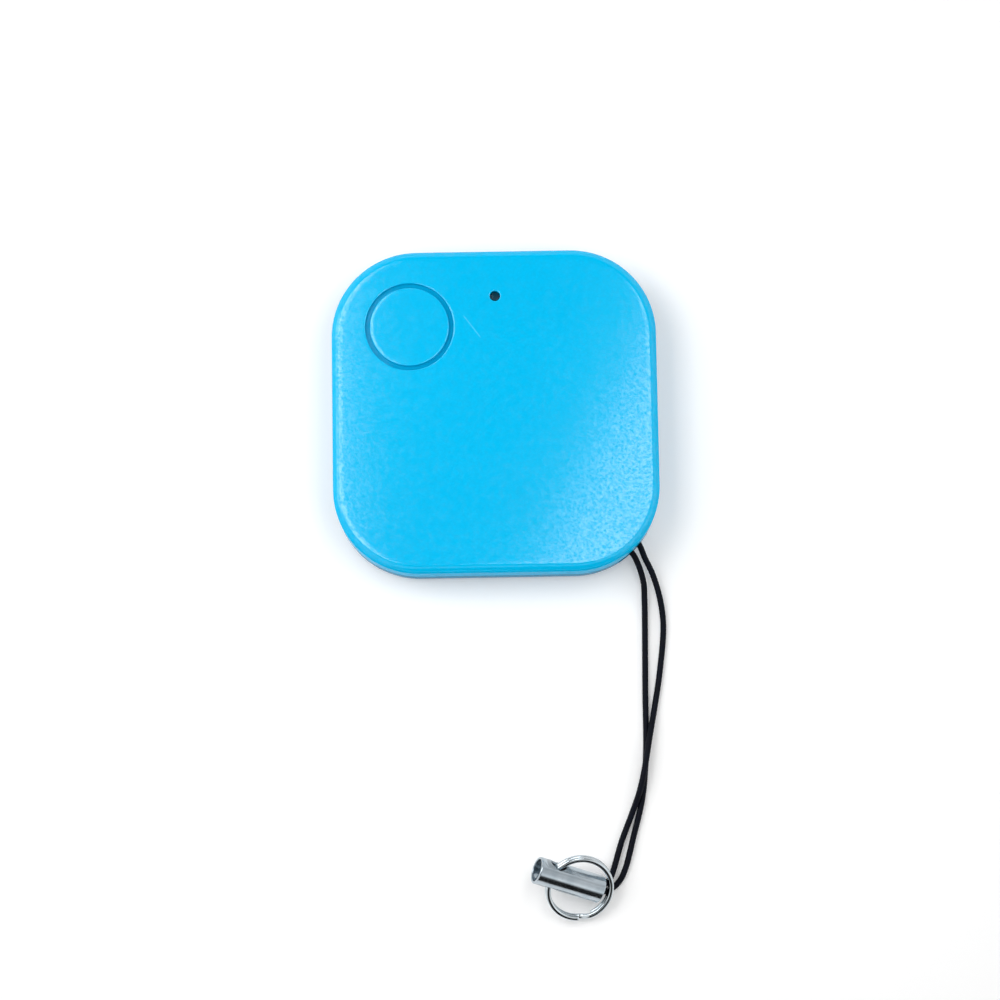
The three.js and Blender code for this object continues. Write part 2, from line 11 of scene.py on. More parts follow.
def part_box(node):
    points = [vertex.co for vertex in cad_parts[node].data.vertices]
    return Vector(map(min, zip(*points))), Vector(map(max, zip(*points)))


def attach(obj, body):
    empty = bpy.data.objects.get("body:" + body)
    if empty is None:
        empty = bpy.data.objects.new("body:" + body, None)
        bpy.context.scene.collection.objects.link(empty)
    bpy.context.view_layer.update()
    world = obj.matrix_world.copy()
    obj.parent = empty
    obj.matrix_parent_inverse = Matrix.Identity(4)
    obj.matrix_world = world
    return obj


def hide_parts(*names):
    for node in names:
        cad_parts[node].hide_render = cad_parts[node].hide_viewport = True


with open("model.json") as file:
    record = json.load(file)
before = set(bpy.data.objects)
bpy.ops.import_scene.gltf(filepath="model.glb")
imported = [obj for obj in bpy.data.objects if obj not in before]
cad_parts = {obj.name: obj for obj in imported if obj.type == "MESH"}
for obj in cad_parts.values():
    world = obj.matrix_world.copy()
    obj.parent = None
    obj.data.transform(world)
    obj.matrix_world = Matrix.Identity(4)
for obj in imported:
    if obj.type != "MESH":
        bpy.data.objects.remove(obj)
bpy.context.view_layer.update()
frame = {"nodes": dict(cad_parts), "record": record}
MM = 0.001

# ---------------------------------------------------------------- sizes

CASE_LOW, CASE_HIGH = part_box("back_cover")[0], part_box("front_cover")[1]
HALF_SIDE = CASE_HIGH[0]
CASE_TOP = CASE_HIGH[2]
PARTING_LOW = CASE_LOW[2] + 3.35 * MM
PARTING_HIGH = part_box("front_cover")[0][2]
TONGUE_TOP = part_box("back_cover")[1][2]
CORNER_R = 10.0 * MM
WALL = 1.2 * MM
FACE = 0.9 * MM
FLOOR = 0.9 * MM
CEILING = CASE_TOP - FACE
FRONT_EDGE_R = 1.0 * MM
BACK_EDGE_R = 1.5 * MM
TONGUE = 0.5 * MM
TONGUE_CLEARANCE = 0.1 * MM
REBATE = TONGUE + TONGUE_CLEARANCE
CORNER_STEPS = 28

BUTTON_LOW, BUTTON_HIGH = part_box("button_cap")
BUTTON = (BUTTON_LOW + BUTTON_HIGH) / 2
FLANGE_R = (BUTTON_HIGH[0] - BUTTON_LOW[0]) / 2
BUTTON_R = 4.65 * MM
GROOVE = 0.5 * MM
BUTTON_TOP = 0.45 * MM
FLANGE = 0.4 * MM
SEAT_R = FLANGE_R + 0.2 * MM
SEAT_LIFT = 0.05 * MM
NUB_R = 0.6 * MM

WINDOW_LOW, WINDOW_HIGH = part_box("led_window")
WINDOW = (WINDOW_LOW + WINDOW_HIGH) / 2
LED_HOLE_R = 0.6 * MM
WINDOW_R = 0.55 * MM
WINDOW_FLANGE_R = 1.1 * MM
WINDOW_FLANGE = 0.35 * MM
WINDOW_DEPTH = 0.35 * MM
WINDOW_CROWN = 0.02 * MM

SLOT_WIDTH = 4.8 * MM
SLOT_SILL = 0.3 * MM
SLOT_SILL_R = 0.5 * MM
SLOT_OVERLAP = 0.02 * MM
POST_R = 0.8 * MM
POST_FLARE = 0.4 * MM
POST_REACH = 19.23 * MM
POST_TOP = CASE_LOW[2] + 4.3 * MM
POST_STOP_R = 1.3 * MM
POST_STOP_GAP = 0.15 * MM
SLOT_REACHES = (POST_REACH + 1.9 * MM, POST_REACH + 5.0 * MM)

BOSS_PLACES = ((-15.0, -3.5), (14.8, 3.0), (6.5, 15.0))
BOSS_R = 1.3 * MM
BOSS_PIN_R = 0.6 * MM
BOSS_HEAD_R = 0.95 * MM
BOSS_HEAD = 0.3 * MM
BOSS_FIT = 0.01 * MM
FOOT_FLARE = 0.3 * MM
FOOT_SINK = 0.05 * MM

CORD_DIAMETER = 0.7 * MM
CORD_R = CORD_DIAMETER / 2

# Split ring and ferrule, about the middle of the ferrule's cross hole
CROSS_HOLE = Vector((5.85, -53.8, 3.9)) * MM
CROSS_HOLE_R = 1.08 * MM
CROSS_HOLE_INSET = 2.2 * MM
FERRULE_TURN = (22.5, 19.0, -17.5)
FERRULE_LENGTH = 8.2 * MM
FERRULE_R = 1.6 * MM
FERRULE_WALL = 0.3 * MM
RING_TURN = (18.5, 21.0, -27.0)
RING_REACH = 3.54 * MM
RING_OUTER_R = 4.0 * MM
RING_WIRE_WIDTH = 0.6 * MM
RING_WIRE_HEIGHT = 0.5 * MM
RING_COIL_GAP = 0.04 * MM
RING_STEP = 24.0
RING_STEP_PLACE = -60.0
RING_EDGE_R = 0.21 * MM
RING_ROWS = 260
RING_END_ROWS = 5
RING_END_HEIGHT = 0.72


def rgb(r, g, b):
    """Linear colour from 0 to 255 display values."""
    return tuple((c / 255) ** 2.2 for c in (r, g, b)) + (1.0,)


# ---------------------------------------------------------------- camera

CAMERA_TARGET = Vector((0.4 * MM, -10.64 * MM, CASE_TOP))
CAMERA_ELEVATION = 82.0
CAMERA_AZIMUTH = 0.0
CAMERA_ROLL = -0.97
CAMERA_DISTANCE = 325 * MM
CAMERA_LENS = 101.0
CAMERA_SENSOR = 36.0


def add_camera():
    """Camera above the tag, a little towards the strap's end."""
    elevation = math.radians(CAMERA_ELEVATION)
    azimuth = math.radians(CAMERA_AZIMUTH)
    back = Vector((
        math.cos(elevation) * math.sin(azimuth),
        -math.cos(elevation) * math.cos(azimuth),
        math.sin(elevation),
    ))
    right = Vector((math.cos(azimuth), math.sin(azimuth), 0.0))
    turn = Matrix.Rotation(math.radians(CAMERA_ROLL), 3, back)
    right = turn @ right
    up = back.cross(right)
    data = bpy.data.cameras.new("camera")
    data.lens = CAMERA_LENS
    data.sensor_width = CAMERA_SENSOR
    camera = bpy.data.objects.new("camera", data)
    axes = Matrix((right, up, back)).transposed().to_4x4()
    camera.matrix_world = Matrix.Translation(CAMERA_TARGET + back * CAMERA_DISTANCE) @ axes
    bpy.context.scene.collection.objects.link(camera)
    bpy.context.scene.camera = camera


# ---------------------------------------------------------------- mesh helpers

def add_object(name, mesh, body):
    piece = bpy.data.objects.new(name, mesh)
    bpy.context.scene.collection.objects.link(piece)
    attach(piece, body)
    return piece


def mesh_of(bm, name, smooth=True):
    bmesh.ops.recalc_face_normals(bm, faces=bm.faces)
    mesh = bpy.data.meshes.new(name)
    bm.to_mesh(mesh)
    bm.free()
    mesh.polygons.foreach_set("use_smooth", [smooth] * len(mesh.polygons))
    return mesh


def softened(points, steps=6):
    """Open line of (across, height, corner radius) points, with its corners rounded."""
    line = [Vector(p[:2]) for p in points]
    out = [line[0]]
    for before, corner, after, point in zip(line, line[1:], line[2:], points[1:]):
        radius = point[2] if len(point) > 2 else 0.0
        if radius <= 0.0:
            out.append(corner)
            continue
        a = (before - corner).normalized()
        b = (after - corner).normalized()
        half = a.angle(b) / 2
        reach = radius / math.tan(half)
        centre = corner + (a + b).normalized() * (radius / math.sin(half))
        first = corner + a * reach - centre
        last = corner + b * reach - centre
        sweep = first.angle_signed(last)
        for i in range(steps + 1):
            arm = first.copy()
            arm.rotate(Matrix.Rotation(-sweep * i / steps, 2))
            out.append(centre + arm)
    out.append(line[-1])
    return out


def square_row(inset, z):
    """Points round the case's rounded-square outline, moved in by inset."""
    centre = HALF_SIDE - CORNER_R
    radius = CORNER_R - inset
    row = []
    for x, y, start in ((1, 1, 0), (-1, 1, 90), (-1, -1, 180), (1, -1, 270)):
        for i in range(CORNER_STEPS + 1):
            turn = math.radians(start + 90 * i / CORNER_STEPS)
            row.append((
                x * centre + radius * math.cos(turn),
                y * centre + radius * math.sin(turn),
                z,
            ))
    return row


def round_row(centre, radius, z, steps):
    row = []
    for i in range(steps):
        turn = 2 * math.pi * i / steps
        row.append((centre[0] + radius * math.cos(turn), centre[1] + radius * math.sin(turn), z))
    return row


def loft(bm, rows, close_start=False, close_end=False):
    """Skin over closed rows of equal length. Returns the first and last rows' vertices."""
    rings = [[bm.verts.new(p) for p in row] for row in rows]
    for lower, upper in zip(rings, rings[1:]):
        count = len(lower)
        for i in range(count):
            j = (i + 1) % count
            bm.faces.new((lower[i], lower[j], upper[j], upper[i]))
    if close_start:
        bm.faces.new(rings[0])
    if close_end:
        bm.faces.new(rings[-1])
    return rings[0], rings[-1]


def fill_flat(bm, *rings):
    """Flat face between an outline and the holes in it."""
    edges = []
    for ring in rings:
        for a, b in zip(ring, ring[1:] + ring[:1]):
            edges.append(bm.edges.get((a, b)) or bm.edges.new((a, b)))
    bmesh.ops.triangle_fill(bm, edges=edges, use_beauty=True, use_dissolve=False)


def turned(bm, profile, centre=(0.0, 0.0), steps=64, solid=True):
    """Solid turned about an upright axis from (radius, height) points."""
    rows = [round_row(centre, max(r, 1e-6), z, steps) for r, z in profile]
    return loft(bm, rows, close_start=solid, close_end=solid)


def even_normals(piece):
    """Keeps flat faces flat beside rounded edges."""
    modifier = piece.modifiers.new("even_normals", "WEIGHTED_NORMAL")
    modifier.keep_sharp = True
    modifier.weight = 80


def cut_with(piece, cutter):
    """Takes the cutter's shape out of the piece's mesh, and drops the cutter."""
    modifier = piece.modifiers.new("cut", "BOOLEAN")
    modifier.operation = "DIFFERENCE"
    modifier.solver = "EXACT"
    modifier.object = cutter
    graph = bpy.context.evaluated_depsgraph_get()
    mesh = bpy.data.meshes.new_from_object(piece.evaluated_get(graph))
    piece.modifiers.remove(modifier)
    piece.data = mesh
    bpy.data.objects.remove(cutter)


def frames_along(path):
    """Carries a normal along a line of points. Returns (point, normal, binormal) rows."""
    rows = []
    normal = None
    for i, point in enumerate(path):
        tangent = (path[min(i + 1, len(path) - 1)] - path[max(i - 1, 0)]).normalized()
        if normal is None:
            normal = tangent.orthogonal().normalized()
        normal = (normal - tangent * normal.dot(tangent)).normalized()
        rows.append((point, normal, tangent.cross(normal)))
    return rows


# ---------------------------------------------------------------- cord

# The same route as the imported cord's, in millimetres: from inside the ferrule to
# the case, round the post in it, and back over the first strand to the ferrule.
CORD_ROUTE = (
    (8.1, -54.95, 2.35), (11.15, -55.75, 1.1), (12.0, -55.65, 0.55), (12.9, -55.2, 0.4),
    (13.65, -54.4, 0.4), (14.3, -53.0, 0.4), (15.3, -49.4, 0.4), (16.4, -45.1, 0.4),
    (16.95, -40.0, 0.4), (17.05, -32.7, 0.4), (17.2, -24.5, 0.42), (17.2, -21.9, 0.7),
    (17.1, -19.8, 1.15), (16.4, -17.5, 1.7), (15.7, -16.3, 1.85), (14.4, -15.6, 1.9),
    (13.1, -15.05, 1.9), (12.4, -14.5, 1.9), (12.1, -13.6, 1.9), (12.5, -12.55, 1.9),
    (13.55, -12.1, 1.9), (14.65, -12.55, 1.9), (15.5, -13.75, 1.9), (16.7, -15.5, 1.85),
    (17.3, -17.0, 1.7), (18.2, -18.9, 1.25), (19.05, -21.9, 0.7), (19.35, -25.0, 0.42),
    (18.75, -30.7, 0.4), (18.05, -34.7, 0.5), (17.4, -38.0, 1.05), (16.75, -41.5, 1.25),
    (16.1, -44.2, 1.1), (15.2, -46.7, 0.5), (13.85, -50.1, 0.4), (12.95, -53.0, 0.5),
    (12.5, -54.15, 0.7), (11.85, -54.85, 1.0), (10.9, -55.0, 1.5), (8.4, -54.2, 2.35),
)
BRAID_STEP = 0.1 * MM
BRAID_SIDES = 20
BRAID_STRANDS = 4
BRAID_PITCH = 2.0 * MM
BRAID_RELIEF = 0.045 * MM


def smooth_route(points, step):
    """Points a step apart on the smooth curve (centripetal) through the given ones."""
    knots = [points[0] * 2 - points[1], *points, points[-1] * 2 - points[-2]]
    fine = []
    for p0, p1, p2, p3 in zip(knots, knots[1:], knots[2:], knots[3:]):
        t1 = (p1 - p0).length ** 0.5
        t2 = t1 + (p2 - p1).length ** 0.5
        t3 = t2 + (p3 - p2).length ** 0.5
        for i in range(40):
            t = t1 + (t2 - t1) * i / 40
            a1 = p0.lerp(p1, t / t1)
            a2 = p1.lerp(p2, (t - t1) / (t2 - t1))
            a3 = p2.lerp(p3, (t - t2) / (t3 - t2))
            b1 = a1.lerp(a2, t / t2)
            b2 = a2.lerp(a3, (t - t1) / (t3 - t1))
            fine.append(b1.lerp(b2, (t - t1) / (t2 - t1)))
    fine.append(points[-1])
    route = [fine[0]]
    left = step
    for a, b in zip(fine, fine[1:]):
        gap = (b - a).length
        while gap >= left:
            a = a.lerp(b, left / gap)
            gap = (b - a).length
            route.append(a)
            left = step
        left -= gap
    return route


def braid_height(around, along):
    """Height, from 0 to 1, of a braid of strands that run both ways round the cord."""
    u = BRAID_STRANDS * (around + along)
    v = BRAID_STRANDS * (around - along)
    ridge_u = math.sqrt(abs(math.sin(math.pi * u)))
    ridge_v = math.sqrt(abs(math.sin(math.pi * v)))
    over = math.sin(math.pi * (u + 0.5)) * math.sin(math.pi * (v + 0.5))
    lift = 0.5 + 0.5 * max(-1.0, min(1.0, 2.0 * over))
    return max(ridge_u * lift, ridge_v * (1.0 - lift))


def add_cord():
    points = [Vector(p) * MM for p in CORD_ROUTE]
    route = smooth_route(points, BRAID_STEP)
    rows = []
    for i, (point, normal, binormal) in enumerate(frames_along(route)):
        along = i * BRAID_STEP / BRAID_PITCH
        row = []
        for k in range(BRAID_SIDES):
            around = k / BRAID_SIDES
            radius = CORD_R + BRAID_RELIEF * (braid_height(around, along) - 0.6)
            turn = 2 * math.pi * around
            arm = normal * math.cos(turn) + binormal * math.sin(turn)
            row.append(point + arm * radius)
        rows.append(row)
    bm = bmesh.new()
    loft(bm, rows, close_start=True, close_end=True)
    cord = add_object("braided_cord", mesh_of(bm, "braided_cord"), "back_shell")
    cord.data.materials.append(cord_material())
    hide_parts("lanyard_cord")
    return cord, route


# ---------------------------------------------------------------- node helpers

class Nodes:
    """A small builder for one material's node tree."""

    def __init__(self, name, **inputs):
        self.material = bpy.data.materials.new(name)
        self.material.use_nodes = True
        self.tree = self.material.node_tree
        self.shader = self.tree.nodes["Principled BSDF"]
        for key, value in inputs.items():
            self.shader.inputs[key.replace("_", " ")].default_value = value
        self.place = self.add("ShaderNodeTexCoord").outputs["Object"]

    def add(self, kind, **settings):
        node = self.tree.nodes.new(kind)
        for key, value in settings.items():
            setattr(node, key, value)
        return node

    def link(self, source, node, socket):
        self.tree.links.new(source, node.inputs[socket])

    def stretch(self, sizes, turn=(0.0, 0.0, 0.0), origin=(0.0, 0.0, 0.0)):
        """Places from an origin in the given sizes, along axes turned by the given degrees."""
        node = self.add("ShaderNodeMapping", vector_type="TEXTURE")
        self.link(self.place, node, "Vector")
        node.inputs["Location"].default_value = origin
        node.inputs["Rotation"].default_value = tuple(math.radians(a) for a in turn)
        node.inputs["Scale"].default_value = sizes
        return node.outputs["Vector"]

    def parts(self, place=None):
        """The X, Y and Z of a place."""
        node = self.add("ShaderNodeSeparateXYZ")
        self.link(place or self.place, node, "Vector")
        return node.outputs["X"], node.outputs["Y"], node.outputs["Z"]

    def noise(self, scale, detail=3.0, rough=0.5, place=None):
        node = self.add("ShaderNodeTexNoise")
        self.link(place or self.place, node, "Vector")
        node.inputs["Scale"].default_value = scale
        node.inputs["Detail"].default_value = detail
        node.inputs["Roughness"].default_value = rough
        return node.outputs["Fac"]

    def cells(self, scale, feature):
        """Distances in a cell pattern."""
        node = self.add("ShaderNodeTexVoronoi", feature=feature)
        self.link(self.place, node, "Vector")
        node.inputs["Scale"].default_value = scale
        return node.outputs["Distance"]

    def between(self, value, low, high, out_low, out_high):
        """A value's range from low to high, made into another range and kept in it."""
        node = self.add("ShaderNodeMapRange")
        self.link(value, node, "Value")
        node.inputs["From Min"].default_value = low
        node.inputs["From Max"].default_value = high
        node.inputs["To Min"].default_value = out_low
        node.inputs["To Max"].default_value = out_high
        return node.outputs["Result"]

    def math(self, operation, a, b=0.0):
        node = self.add("ShaderNodeMath", operation=operation)
        for i, value in enumerate((a, b)):
            if isinstance(value, (int, float)):
                node.inputs[i].default_value = value
            else:
                self.tree.links.new(value, node.inputs[i])
        return node.outputs["Value"]

    def mix(self, factor, a, b):
        """Colour mix. a and b are colours or sockets."""
        node = self.add("ShaderNodeMix", data_type="RGBA")
        self.tree.links.new(factor, node.inputs["Factor"])
        for i, value in ((6, a), (7, b)):
            if isinstance(value, tuple):
                node.inputs[i].default_value = value
            else:
                self.tree.links.new(value, node.inputs[i])
        return node.outputs[2]

    def bump(self, height, distance, strength):
        node = self.add("ShaderNodeBump")
        self.link(height, node, "Height")
        node.inputs["Distance"].default_value = distance
        node.inputs["Strength"].default_value = strength
        return node.outputs["Normal"]

    def out(self, socket, name):
        self.tree.links.new(socket, self.shader.inputs[name])


# ---------------------------------------------------------------- materials

GRAIN_DEPTH = 0.004 * MM
# Painted shade: how much darker the groove round the button is coloured
GROOVE_PAINTED_SHADE = 0.72
MATT_GLOSS = 0.004
FACE_GLOSS = 0.45

SCRATCH_MIDDLE = (-2.53 * MM, 9.89 * MM, CASE_TOP)
SCRATCH_HEADING = -53.4
SCRATCH_LENGTH = 3.5 * MM
SCRATCH_WIDTH = 0.2 * MM
SCRATCH_STRENGTH = 0.35
SCRATCH_COLOUR = rgb(110, 214, 250)


def plastic_material(name, colour_a, colour_b, gloss):
    """Moulded plastic with a fine spark-eroded grain. The walls and the groove are matt, and the
    groove round the button is coloured darker as painted shade.
    """
    n = Nodes(name)
    grain = n.noise(3800.0, 2.0, 0.5)
    specks = n.cells(3000.0, feature="SMOOTH_F1")
    broad = n.noise(110.0, 2.0)
    colour = n.mix(n.between(grain, 0.3, 0.7, 0.0, 1.0), colour_a, colour_b)
    colour = n.mix(n.between(broad, 0.35, 0.65, 0.0, 0.3), colour, colour_a)
    x, y, z = n.parts()
    on_face = n.between(z, CASE_TOP - 0.5 * MM, CASE_TOP - 0.05 * MM, 0.0, 1.0)
    from_button = n.math("SQRT", n.math(
        "ADD",
        n.math("POWER", n.math("SUBTRACT", x, BUTTON[0]), 2.0),
        n.math("POWER", n.math("SUBTRACT", y, BUTTON[1]), 2.0),
    ))
    # Painted shade: the colour is darkened in the groove round the button, below the face
    off_groove = n.math("ABSOLUTE", n.math("SUBTRACT", from_button, BUTTON_R + GROOVE / 2))
    groove_shade_mask = n.between(off_groove, GROOVE * 0.4, GROOVE * 0.9, 1.0, 0.0)
    groove_shade_mask = n.math("MULTIPLY", groove_shade_mask, n.math("SUBTRACT", 1.0, on_face))
    painted_groove_shade = tuple(c * GROOVE_PAINTED_SHADE for c in colour_a[:3]) + (1.0,)
    colour = n.mix(groove_shade_mask, colour, painted_groove_shade)
    colour = n.mix(n.math("MULTIPLY", scratch_mask(n), on_face), colour, SCRATCH_COLOUR)
    sparkle = n.between(n.math("ADD", specks, grain), 0.6, 1.15, gloss * 0.35, gloss * 1.9)
    n.out(n.math("ADD", n.math("MULTIPLY", on_face, sparkle), MATT_GLOSS), "Specular IOR Level")
    n.out(colour, "Base Color")
    n.out(n.between(n.noise(1400.0, 3.0), 0.3, 0.7, 0.11, 0.17), "Roughness")
    height = n.math("ADD", n.math("MULTIPLY", specks, 0.6), grain)
    n.out(n.bump(height, GRAIN_DEPTH, 0.5), "Normal")
    return n.material


def scratch_mask(n):
    """1 along the faint scratch on the face, and 0 elsewhere."""
    sizes = (SCRATCH_LENGTH / 2, SCRATCH_WIDTH / 2, 1.0)
    place = n.stretch(sizes, (0.0, 0.0, SCRATCH_HEADING), SCRATCH_MIDDLE)
    along, across, _ = n.parts(place)
    inside = n.between(n.math("ABSOLUTE", along), 0.8, 1.0, 1.0, 0.0)
    near = n.between(n.math("ABSOLUTE", across), 0.3, 1.0, SCRATCH_STRENGTH, 0.0)
    return n.math("MULTIPLY", inside, near)


def cord_material():
    """Near-black braided fibre with fine threads along the strands."""
    n = Nodes("cord_fibre", Specular_IOR_Level=0.12)
    thread = n.noise(9000.0, 4.0, 0.7)
    patch = n.noise(900.0, 2.0)
    colour = n.mix(n.between(thread, 0.35, 0.7, 0.0, 1.0), rgb(1, 4, 12), rgb(14, 22, 38))
    colour = n.mix(n.between(patch, 0.4, 0.7, 0.0, 0.5), colour, rgb(4, 8, 17))
    n.out(colour, "Base Color")
    n.out(n.between(thread, 0.3, 0.7, 0.45, 0.7), "Roughness")
    n.out(n.bump(thread, 0.02 * MM, 0.6), "Normal")
    return n.material


def metal_material(name, colour_a, colour_b, rough, grain, turn=(0.0, 0.0, 0.0)):
    """Metal with fine scratches and a cloudy polish. grain is the scratches' size each way."""
    n = Nodes(name, Metallic=1.0)
    scratches = n.noise(1.0, 4.0, 0.6, n.stretch(grain, turn))
    cloud = n.noise(600.0, 3.0)
    n.out(n.mix(n.between(cloud, 0.35, 0.65, 0.0, 1.0), colour_a, colour_b), "Base Color")
    n.out(n.between(scratches, 0.3, 0.7, rough * 0.75, rough * 1.3), "Roughness")
    n.out(n.bump(scratches, 0.003 * MM, 0.4), "Normal")
    return n.material


def clear_material():
    """Clear plastic of the light's window. Its dark teal colour is painted shade that stands for
    the unlit inside seen through it.
    """
    n = Nodes("clear_plastic", IOR=1.49, Transmission_Weight=0.3, Specular_IOR_Level=0.08)
    haze = n.noise(2500.0, 2.0)
    # Painted shade: the dark teal stands for the dark inside under the window
    n.out(n.mix(haze, rgb(0, 50, 68), rgb(4, 76, 92)), "Base Color")
    n.out(n.between(haze, 0.3, 0.7, 0.18, 0.3), "Roughness")
    return n.material


def speckled_material(name, colour_a, colour_b, rough, scale=1500.0, metal=0.0):
    """Matt material with a fine grain: resin, ceramic, rubber or laminate."""
    n = Nodes(name, Metallic=metal)
    grain = n.noise(scale, 3.0, 0.6)
    n.out(n.mix(n.between(grain, 0.3, 0.7, 0.0, 1.0), colour_a, colour_b), "Base Color")
    n.out(n.between(grain, 0.3, 0.7, rough * 0.85, min(1.0, rough * 1.15)), "Roughness")
    n.out(n.bump(grain, 0.01 * MM, 0.35), "Normal")
    return n.material


# ---------------------------------------------------------------- case

def add_front_cover(plastic):
    outer = softened((
        (WALL + 0.6 * MM, CEILING),
        (WALL, CEILING, 0.3 * MM),
        (WALL, TONGUE_TOP + TONGUE_CLEARANCE, 0.04 * MM),
        (WALL - REBATE, TONGUE_TOP + TONGUE_CLEARANCE, 0.04 * MM),
        (WALL - REBATE, PARTING_HIGH, 0.08 * MM),
        (0.0, PARTING_HIGH, 0.1 * MM),
        (0.0, CASE_TOP, FRONT_EDGE_R),
        (FRONT_EDGE_R + 0.4 * MM, CASE_TOP),
    ), 8)
    opening_r = BUTTON_R + GROOVE
    seat_z = CASE_TOP - BUTTON_TOP + SEAT_LIFT
    opening = softened((
        (opening_r + 0.3 * MM, CASE_TOP),
        (opening_r, CASE_TOP, 0.14 * MM),
        (opening_r, seat_z, 0.04 * MM),
        (SEAT_R, seat_z, 0.04 * MM),
        (SEAT_R, CEILING, 0.08 * MM),
        (SEAT_R + 0.2 * MM, CEILING),
    ))
    pin_hole = softened((
        (LED_HOLE_R + 0.2 * MM, CASE_TOP),
        (LED_HOLE_R, CASE_TOP, 0.1 * MM),
        (LED_HOLE_R, CEILING, 0.05 * MM),
        (LED_HOLE_R + 0.12 * MM, CEILING),
    ))
    bm = bmesh.new()
    inner_rim, face_rim = loft(bm, [square_row(inset, z) for inset, z in outer])
    opening_top, opening_bottom = turned(bm, opening, BUTTON, 96, solid=False)
    hole_top, hole_bottom = turned(bm, pin_hole, WINDOW, 32, solid=False)
    fill_flat(bm, face_rim, opening_top, hole_top)
    fill_flat(bm, inner_rim, opening_bottom, hole_bottom)
    cover = add_object("case_front", mesh_of(bm, "case_front"), "front_shell")
    cover.data.materials.append(plastic)
    even_normals(cover)
    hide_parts("front_cover")
    return cover


def corner_place(reach, z):
    return Vector((reach * math.sqrt(0.5), -reach * math.sqrt(0.5), z))


def add_back_cover(plastic):
    outer = softened((
        (BACK_EDGE_R + 0.6 * MM, CASE_LOW[2]),
        (0.0, CASE_LOW[2], BACK_EDGE_R),
        (0.0, PARTING_LOW, 0.1 * MM),
        (WALL - TONGUE, PARTING_LOW, 0.04 * MM),
        (WALL - TONGUE, TONGUE_TOP, 0.08 * MM),
        (WALL, TONGUE_TOP, 0.08 * MM),
        (WALL, FLOOR, 0.3 * MM),
        (WALL + 0.6 * MM, FLOOR),
    ), 8)
    bm = bmesh.new()
    bottom, floor = loft(bm, [square_row(inset, z) for inset, z in outer])
    fill_flat(bm, bottom)
    fill_flat(bm, floor)
    cover = add_object("case_back", mesh_of(bm, "case_back"), "back_shell")
    cut_with(cover, slot_cutter())
    cover.data.materials.clear()
    cover.data.materials.append(plastic)
    even_normals(cover)
    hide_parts("back_cover")
    return cover


def slot_cutter():
    """Bar with rounded lower edges that opens the cord's slot in the back cover's wall."""
    half = SLOT_WIDTH / 2
    sill = FLOOR + SLOT_SILL
    line = softened((
        (-half, PARTING_LOW + SLOT_OVERLAP),
        (-half, sill, SLOT_SILL_R),
        (half, sill, SLOT_SILL_R),
        (half, PARTING_LOW + SLOT_OVERLAP),
    ), 8)
    bm = bmesh.new()
    rows = []
    for reach in SLOT_REACHES:
        across = Vector((math.sqrt(0.5), math.sqrt(0.5), 0.0))
        rows.append([corner_place(reach, z) + across * x for x, z in line])
    loft(bm, rows, close_start=True, close_end=True)
    cutter = bpy.data.objects.new("slot_cutter", mesh_of(bm, "slot_cutter", False))
    bpy.context.scene.collection.objects.link(cutter)
    return cutter


def add_post(plastic):
    """The post that the cord goes round, with a flared foot."""
    profile = softened((
        (POST_R + POST_FLARE, FLOOR - 0.1 * MM),
        (POST_R + POST_FLARE, FLOOR),
        (POST_R, FLOOR + 0.01 * MM, 0.3 * MM),
        (POST_R, POST_TOP, 0.15 * MM),
        (0.0, POST_TOP),
    ))
    bm = bmesh.new()
    turned(bm, profile, corner_place(POST_REACH, 0.0), 40)
    post = add_object("cord_post", mesh_of(bm, "cord_post"), "back_shell")
    post.data.materials.append(plastic)
    even_normals(post)


def add_bosses(plastic):
    """Staking pins that hold the board, and the stop over the cord's post."""
    board_low, board_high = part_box("circuit_board")
    pin_low = board_low[2] - BOSS_FIT
    pin_high = board_high[2] + BOSS_FIT
    profile = softened((
        (0.0, board_low[2] - BOSS_HEAD),
        (BOSS_HEAD_R, board_low[2] - BOSS_HEAD, 0.22 * MM),
        (BOSS_HEAD_R, pin_low),
        (BOSS_PIN_R, pin_low),
        (BOSS_PIN_R, pin_high),
        (BOSS_R, pin_high, 0.08 * MM),
        (BOSS_R, CEILING, 0.2 * MM),
        (BOSS_R + FOOT_FLARE, CEILING + FOOT_SINK),
        (0.0, CEILING + FOOT_SINK),
    ))
    for i, (x, y) in enumerate(BOSS_PLACES):
        bm = bmesh.new()
        turned(bm, profile, (x * MM, y * MM), 32)
        boss = add_object(f"board_boss_{i + 1}", mesh_of(bm, "board_boss"), "front_shell")
        boss.data.materials.append(plastic)
        even_normals(boss)
    stop = softened((
        (0.0, POST_TOP + POST_STOP_GAP),
        (POST_STOP_R, POST_TOP + POST_STOP_GAP, 0.15 * MM),
        (POST_STOP_R, CEILING, 0.2 * MM),
        (POST_STOP_R + FOOT_FLARE, CEILING + FOOT_SINK),
        (0.0, CEILING + FOOT_SINK),
    ))
    bm = bmesh.new()
    turned(bm, stop, corner_place(POST_REACH, 0.0), 32)
    piece = add_object("post_stop", mesh_of(bm, "post_stop"), "front_shell")
    piece.data.materials.append(plastic)
    even_normals(piece)


def add_button(plastic):
    flange_top = CASE_TOP - BUTTON_TOP
    profile = softened((
        (0.0, BUTTON_LOW[2]),
        (NUB_R, BUTTON_LOW[2], 0.1 * MM),
        (NUB_R, flange_top - FLANGE, 0.1 * MM),
        (FLANGE_R, flange_top - FLANGE, 0.08 * MM),
        (FLANGE_R, flange_top, 0.08 * MM),
        (BUTTON_R, flange_top, 0.06 * MM),
        (BUTTON_R, CASE_TOP, 0.16 * MM),
        (BUTTON_R - 0.5 * MM, CASE_TOP),
        (0.0, CASE_TOP),
    ))
    bm = bmesh.new()
    turned(bm, profile, BUTTON, 96)
    cap = add_object("button_disc", mesh_of(bm, "button_disc"), "button")
    cap.data.materials.append(plastic)
    even_normals(cap)
    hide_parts("button_cap")


